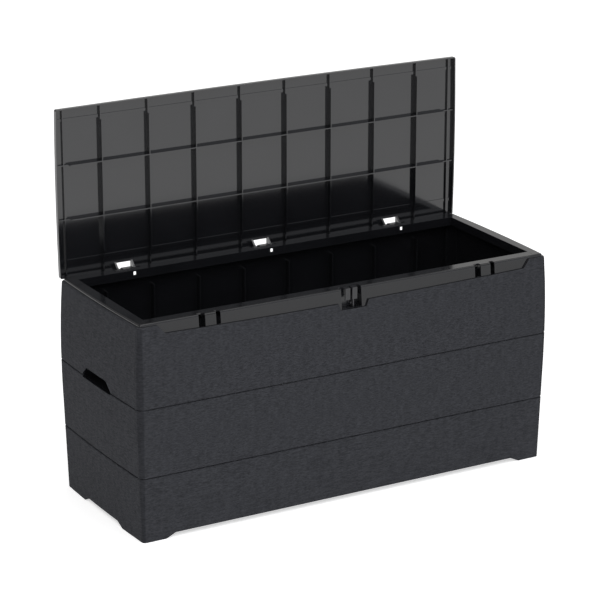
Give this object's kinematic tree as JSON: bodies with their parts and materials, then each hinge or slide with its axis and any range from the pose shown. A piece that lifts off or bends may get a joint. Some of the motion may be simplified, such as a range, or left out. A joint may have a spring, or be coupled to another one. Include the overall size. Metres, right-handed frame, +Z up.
{
  "type": "deck storage box",
  "caption": "Outdoor resin storage chest with grained walls in grooved courses, a ribbed lid hinged open along the back, end hand grips and a padlock pocket.",
  "frame": {"origin": "on the ground under the middle of the floor, at the foot of the centre support pad", "axes": "+X along the length to the right seen from the front, +Y to the hinged back, +Z up"},
  "size_m": [1.1742, 0.4526, 0.9764],
  "materials": {
    "wall_resin": "moulded fine wood-grain texture",
    "lid_resin": "smooth satin-gloss inside, grained outside",
    "inner_resin": "smooth moulded",
    "staple_resin": "smooth moulded",
    "pin_resin": "smooth"
  },
  "bodies": {
    "box": {"front_panel": "wall_resin", "back_panel": "wall_resin", "left_end_panel": "wall_resin", "right_end_panel": "wall_resin", "floor_panel": "inner_resin", "left_handle_cup": "inner_resin", "right_handle_cup": "inner_resin", "padlock_staple": "staple_resin", "hinge_pin_left": "pin_resin", "hinge_pin_centre": "pin_resin", "hinge_pin_right": "pin_resin"},
    "lid": {"lid_shell": "lid_resin"}
  },
  "joints": [
    {"name": "lid_hinge", "type": "hinge", "parent": "box", "child": "lid", "pos_m": [0, 0.21335, 0.54615], "axis": [1, 0, 0], "range_deg": [0, 90]}
  ]
}
